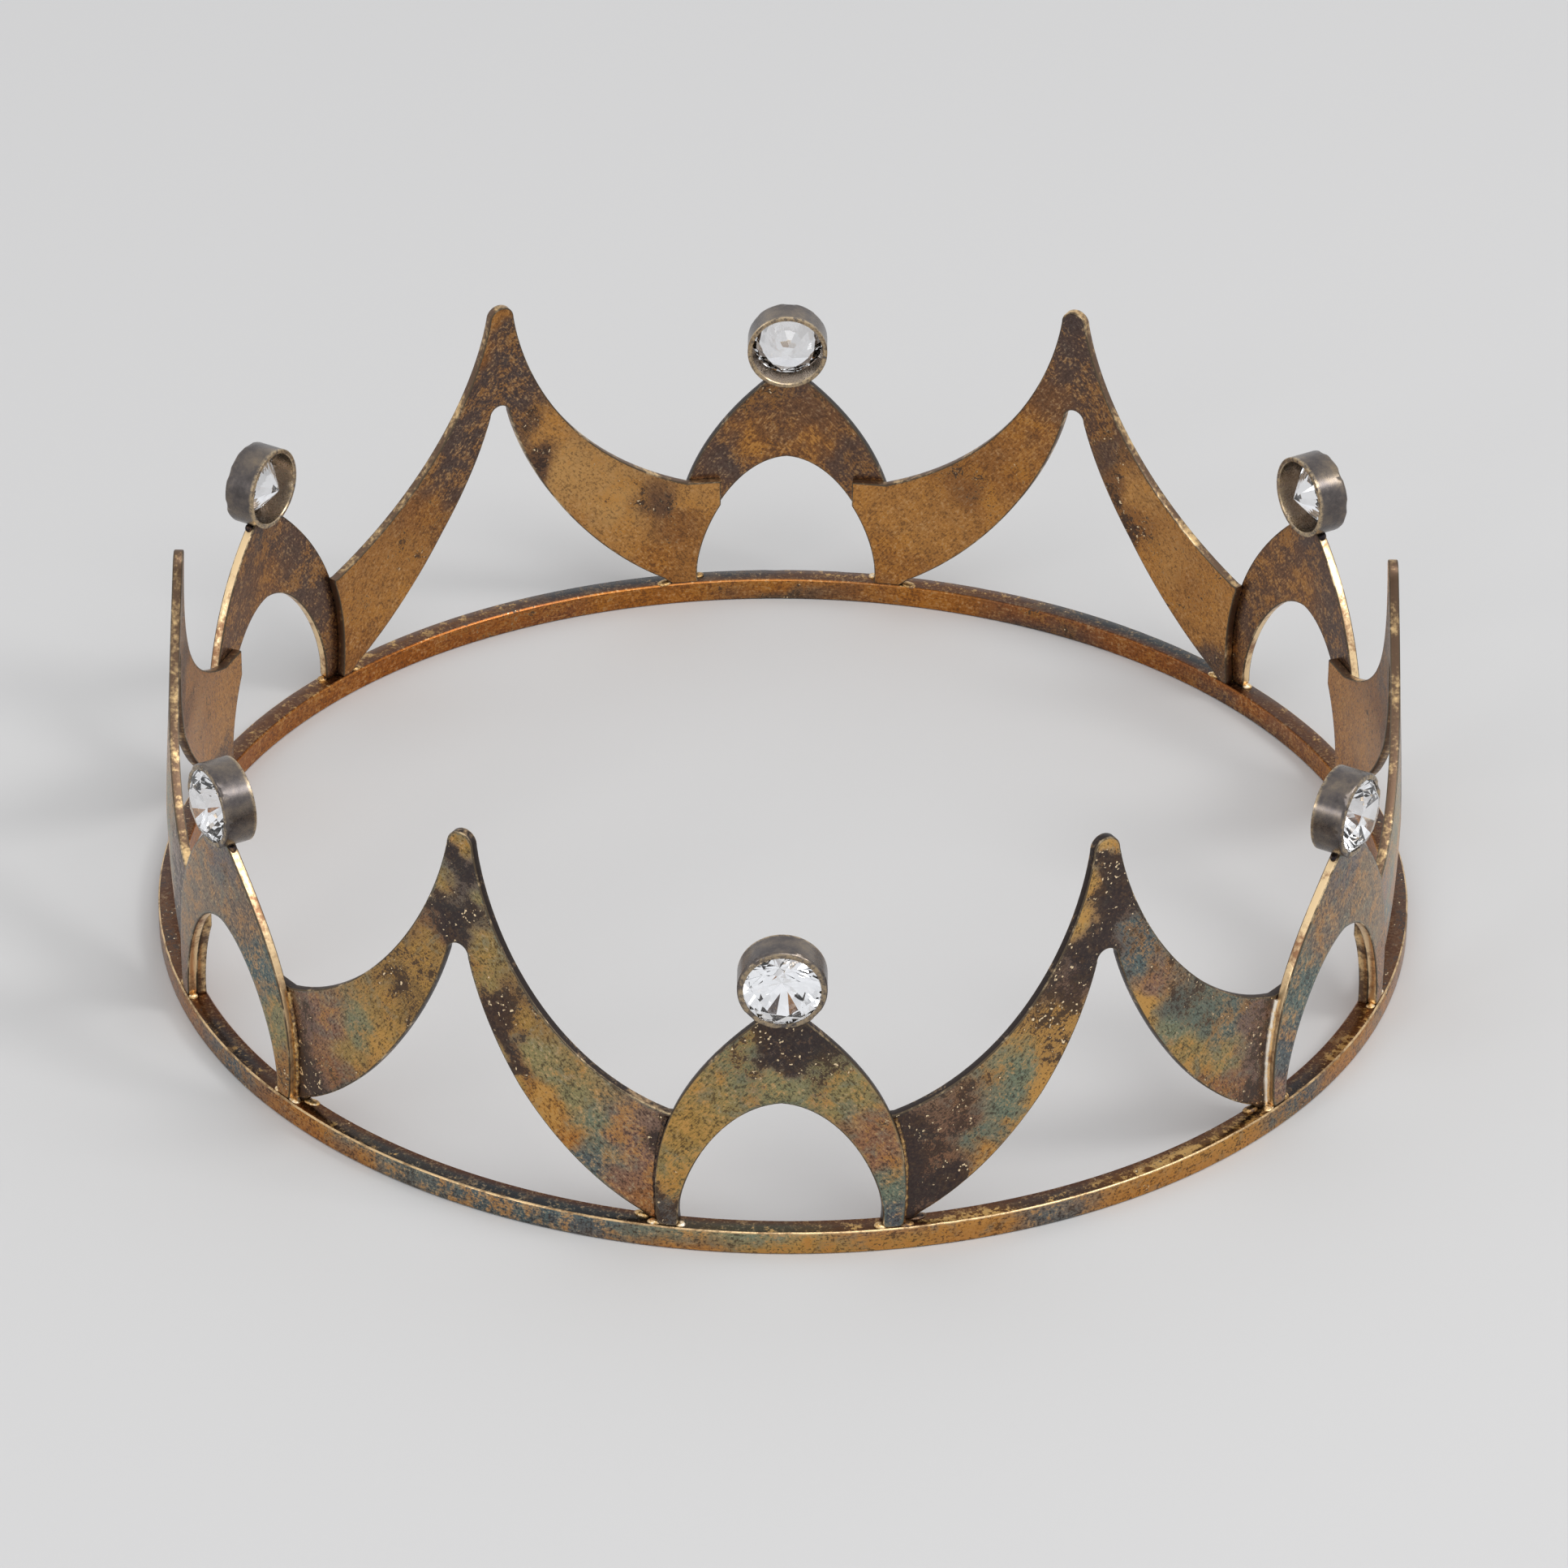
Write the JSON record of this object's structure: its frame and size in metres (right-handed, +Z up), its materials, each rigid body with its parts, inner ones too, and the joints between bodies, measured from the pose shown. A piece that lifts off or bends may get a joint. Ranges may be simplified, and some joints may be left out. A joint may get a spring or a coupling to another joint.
{
  "type": "small open crown",
  "caption": "Small open crown: a flat hoop carrying pointed arches topped by round stones in tube settings, with flared two-legged spires between them.",
  "frame": {"origin": "centre of the hoop, on the underside that it stands on", "axes": "+Z up along the crown's axis; -Y faces the front arch, +X to the wearer's left as seen from the front"},
  "size_m": [0.13, 0.1336, 0.0413],
  "materials": {
    "gilt_hoop": "patinated satin, orange-brown to dark grey, bright on the worn edges",
    "gilt_arch": "patinated satin, olive gold with teal, purple and black patches",
    "gilt_spire": "patinated satin, golden brown with teal, purple and black patches",
    "oxidised_cup": "oxidised silver, fine brush lines round the tube",
    "clear_stone": "polished facets",
    "solder": "bright silver solder, gilt over, uneven"
  },
  "bodies": {
    "root": {"base_hoop": "gilt_hoop", "arch_front": "gilt_arch", "arch_front_right": "gilt_arch", "arch_back_right": "gilt_arch", "arch_back": "gilt_arch", "arch_back_left": "gilt_arch", "arch_front_left": "gilt_arch", "spire_front_right": "gilt_spire", "spire_right": "gilt_spire", "spire_back_right": "gilt_spire", "spire_back_left": "gilt_spire", "spire_left": "gilt_spire", "spire_front_left": "gilt_spire", "cup_front": "oxidised_cup", "cup_front_right": "oxidised_cup", "cup_back_right": "oxidised_cup", "cup_back": "oxidised_cup", "cup_back_left": "oxidised_cup", "cup_front_left": "oxidised_cup", "stone_front": "clear_stone", "stone_front_right": "clear_stone", "stone_back_right": "clear_stone", "stone_back": "clear_stone", "stone_back_left": "clear_stone", "stone_front_left": "clear_stone", "foot_solder": "solder", "seam_solder": "solder", "cup_solder": "solder"}
  },
  "joints": []
}
